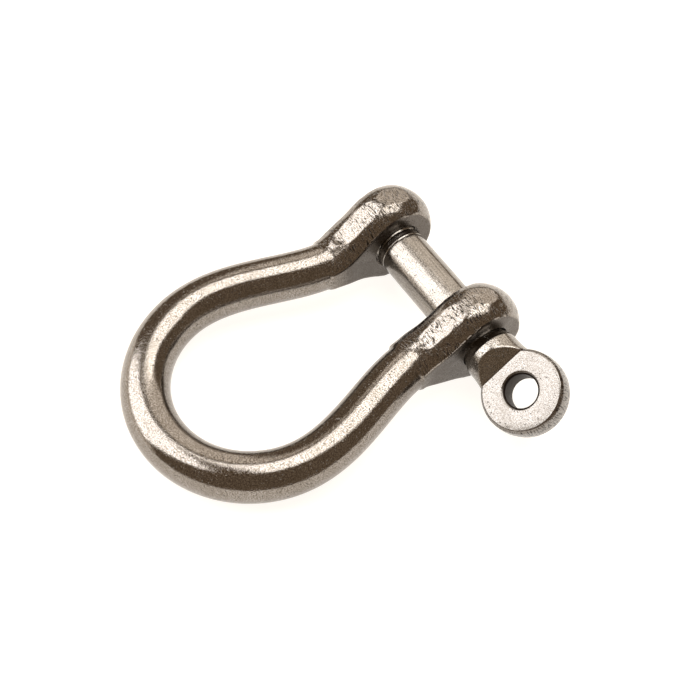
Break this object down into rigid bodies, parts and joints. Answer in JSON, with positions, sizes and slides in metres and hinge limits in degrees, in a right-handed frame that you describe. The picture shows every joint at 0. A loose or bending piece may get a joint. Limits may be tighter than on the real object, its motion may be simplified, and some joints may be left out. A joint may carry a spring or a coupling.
{
  "type": "bow shackle",
  "caption": "Forged bow shackle: a rounded bow ending in bored eyes, closed by a screw pin with a flat eye head that unscrews and draws right out.",
  "frame": {"origin": "middle of the pin's span, on the pin's axis, half way between the bow's ears", "axes": "+X along the pin towards its eye head, +Y from the crown of the bow towards the pin, +Z square to the plane of the bow"},
  "size_m": [0.0535, 0.0616, 0.0162],
  "materials": {
    "forged_steel": "forged stainless steel, tumbled and polished",
    "pin_steel": "turned and forged stainless steel, polished",
    "thread_steel": "cut stainless steel thread"
  },
  "bodies": {
    "bow": {"bow": "forged_steel"},
    "thread_end": {"pin_thread": "thread_steel"},
    "pin": {"screw_pin": "pin_steel"}
  },
  "joints": [
    {"name": "pin_travel", "type": "slide", "parent": "bow", "child": "thread_end", "axis": [1, 0, 0], "range_m": [0, 0.0351]},
    {"name": "pin_turn", "type": "hinge", "parent": "thread_end", "child": "pin", "pos_m": [0, 0, 0], "axis": [1, 0, 0], "range_deg": [0, 10080]}
  ],
  "couplings": [
    {"joint": "pin_travel", "follows": "pin_turn", "m_per_rad": 0.00019894}
  ]
}
